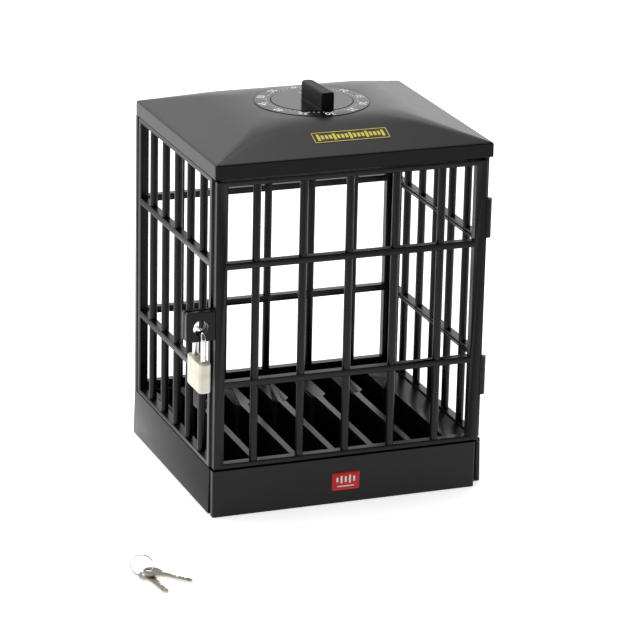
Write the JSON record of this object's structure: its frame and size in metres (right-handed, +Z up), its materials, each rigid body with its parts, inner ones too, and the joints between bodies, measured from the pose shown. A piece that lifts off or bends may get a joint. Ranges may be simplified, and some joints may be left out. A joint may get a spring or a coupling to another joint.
{
  "type": "timed lock container",
  "caption": "Barred plastic cage with a slotted phone tray, a hinged front door with hasp and padlock, a wind-up timer dial in the roof, and loose keys beside it",
  "frame": {"origin": "on the floor under the middle of the lid, where the rubber feet rest", "axes": "+X to the hinge side, +Y from the door to the back, +Z up"},
  "size_m": [0.221, 0.2221, 0.2147],
  "materials": {
    "black_shell": "semi-gloss moulded black plastic",
    "tray_plastic": "semi-gloss moulded black plastic",
    "dial_plastic": "glossy black plastic",
    "foot_rubber": "soft matt rubber",
    "label_film": "printed film, black with a thin yellow outline",
    "red_badge": "glossy red badge",
    "hinge_metal": "black painted hinge leaf",
    "steel": "plain steel",
    "brass": "stamped brass",
    "lock_case": "satin cast case, pale",
    "shackle_steel": "bright plated steel",
    "key_nickel": "satin nickel plate"
  },
  "bodies": {
    "cage": {"base_tub": "black_shell", "front_skirt": "black_shell", "phone_tray": "tray_plastic", "rubber_feet": "foot_rubber", "left_grille": "black_shell", "right_grille": "black_shell", "back_grille": "black_shell", "roof_lid": "black_shell", "ceiling_plate": "black_shell", "number_ring": "dial_plastic", "roof_label_plate": "label_film", "skirt_badge": "red_badge", "frame_hinge_leaves": "hinge_metal", "hinge_pins": "steel", "latch_staple": "black_shell", "base_screws": "steel", "ceiling_screws": "steel", "timer_case": "steel", "timer_cover": "steel", "movement_plate": "brass", "timer_pillars": "brass", "mainspring": "steel", "bell": "steel", "timer_screws": "steel"},
    "timer_dial": {"timer_knob": "dial_plastic", "main_arbor": "steel", "main_wheel": "brass", "alarm_cam": "steel"},
    "second_stage": {"second_pinion": "steel", "second_wheel": "brass"},
    "escape_stage": {"escape_pinion": "steel", "escape_wheel": "brass"},
    "pallet": {"pallet_lever": "steel"},
    "hammer": {"bell_hammer": "steel"},
    "door": {"door_grille": "black_shell", "door_hinge_leaves": "hinge_metal", "hasp_tab": "black_shell"},
    "padlock": {"padlock_body": "lock_case", "bolt_spring": "steel"},
    "shackle": {"padlock_shackle": "shackle_steel"},
    "plug": {"lock_plug": "brass"},
    "bolt": {"locking_bolt": "brass"},
    "keys": {"key_ring": "shackle_steel", "key_1": "key_nickel", "key_2": "key_nickel"}
  },
  "joints": [
    {"name": "door_swing", "type": "hinge", "parent": "cage", "child": "door", "pos_m": [0.076, -0.0645, 0.1077], "axis": [0, 0, 1], "range_deg": [0, 125]},
    {"name": "timer_turn", "type": "hinge", "parent": "cage", "child": "timer_dial", "pos_m": [-0.0004, 0, 0.204], "axis": [0, 0, -1], "range_deg": [0, 345], "deforming": ["mainspring"]},
    {"name": "second_spin", "type": "hinge", "parent": "cage", "child": "second_stage", "pos_m": [-0.00301, -0.0148, 0.196], "axis": [0, 0, -1], "range_deg": [-1380, 0]},
    {"name": "escape_spin", "type": "hinge", "parent": "cage", "child": "escape_stage", "pos_m": [0.00954, -0.01619, 0.196], "axis": [0, 0, -1], "range_deg": [0, 4416]},
    {"name": "pallet_rock", "type": "hinge", "parent": "cage", "child": "pallet", "pos_m": [0.01805, -0.01003, 0.196], "axis": [0, 0, 1], "range_deg": [-2, 2]},
    {"name": "hammer_strike", "type": "hinge", "parent": "cage", "child": "hammer", "pos_m": [0.0111, 0.008, 0.196], "axis": [0, 0, 1], "range_deg": [-1, 4], "stiffness_Nm_per_rad": 0.0005},
    {"name": "padlock_swing", "type": "hinge", "parent": "door", "child": "shackle", "pos_m": [-0.0843, -0.0632, 0.1042], "axis": [0, 1, 0], "range_deg": [-5, 60]},
    {"name": "shackle_release", "type": "slide", "parent": "shackle", "child": "padlock", "axis": [0, 0, -1], "range_m": [0, 0.0048]},
    {"name": "plug_turn", "type": "hinge", "parent": "padlock", "child": "plug", "pos_m": [-0.0843, -0.0632, 0.078], "axis": [0, 0, 1], "range_deg": [0, 90]},
    {"name": "bolt_throw", "type": "slide", "parent": "padlock", "child": "bolt", "axis": [0, -1, 0], "range_m": [0, 0.0012], "deforming": ["bolt_spring"]},
    {"name": "keys_lift", "type": "slide", "parent": "cage", "child": "keys", "axis": [0, 0, 1], "range_m": [0, 0.06]}
  ],
  "couplings": [
    {"joint": "second_spin", "follows": "timer_turn", "ratio": -4},
    {"joint": "escape_spin", "follows": "timer_turn", "ratio": 12.8},
    {"joint": "bolt_throw", "follows": "plug_turn", "m_per_rad": 0.00076394}
  ]
}
